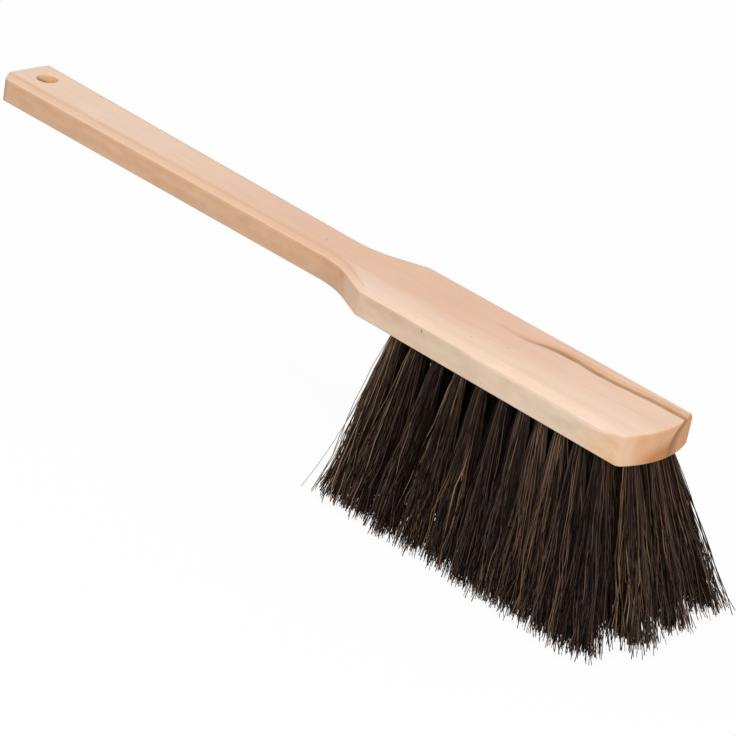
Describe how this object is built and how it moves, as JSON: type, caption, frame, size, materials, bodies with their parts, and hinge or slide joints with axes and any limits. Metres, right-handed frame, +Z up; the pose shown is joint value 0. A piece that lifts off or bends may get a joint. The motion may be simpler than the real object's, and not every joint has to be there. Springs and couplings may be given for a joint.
{
  "type": "hand broom",
  "caption": "Beech hand broom: tapered flat handle with a hanging hole, chamfered block, and rows of dark bristle tufts that fan out to flat-trimmed tips",
  "frame": {"origin": "under the middle of the bounding box, on the plane of the bristle tips", "axes": "+X along the handle towards the nose of the block, +Z up from the bristle tips to the board, Y across the board"},
  "size_m": [0.483, 0.1076, 0.102],
  "materials": {
    "beech": "raw planed and sanded beech, no lacquer, short dark ray flecks, matt",
    "bristle": "dark brown plant fibre with a few lighter strands, slight sheen along each strand"
  },
  "bodies": {
    "root": {"beech_body": "beech", "tuft_1_01": "bristle", "tuft_1_02": "bristle", "tuft_1_03": "bristle", "tuft_1_04": "bristle", "tuft_1_05": "bristle", "tuft_1_06": "bristle", "tuft_1_07": "bristle", "tuft_1_08": "bristle", "tuft_1_09": "bristle", "tuft_1_10": "bristle", "tuft_1_11": "bristle", "tuft_2_01": "bristle", "tuft_2_02": "bristle", "tuft_2_03": "bristle", "tuft_2_04": "bristle", "tuft_2_05": "bristle", "tuft_2_06": "bristle", "tuft_2_07": "bristle", "tuft_2_08": "bristle", "tuft_2_09": "bristle", "tuft_2_10": "bristle", "tuft_2_11": "bristle", "tuft_2_12": "bristle", "tuft_3_01": "bristle", "tuft_3_02": "bristle", "tuft_3_03": "bristle", "tuft_3_04": "bristle", "tuft_3_05": "bristle", "tuft_3_06": "bristle", "tuft_3_07": "bristle", "tuft_3_08": "bristle", "tuft_3_09": "bristle", "tuft_3_10": "bristle", "tuft_3_11": "bristle", "tuft_3_12": "bristle", "tuft_4_01": "bristle", "tuft_4_02": "bristle", "tuft_4_03": "bristle", "tuft_4_04": "bristle", "tuft_4_05": "bristle", "tuft_4_06": "bristle", "tuft_4_07": "bristle", "tuft_4_08": "bristle", "tuft_4_09": "bristle", "tuft_4_10": "bristle", "tuft_4_11": "bristle"}
  },
  "joints": []
}
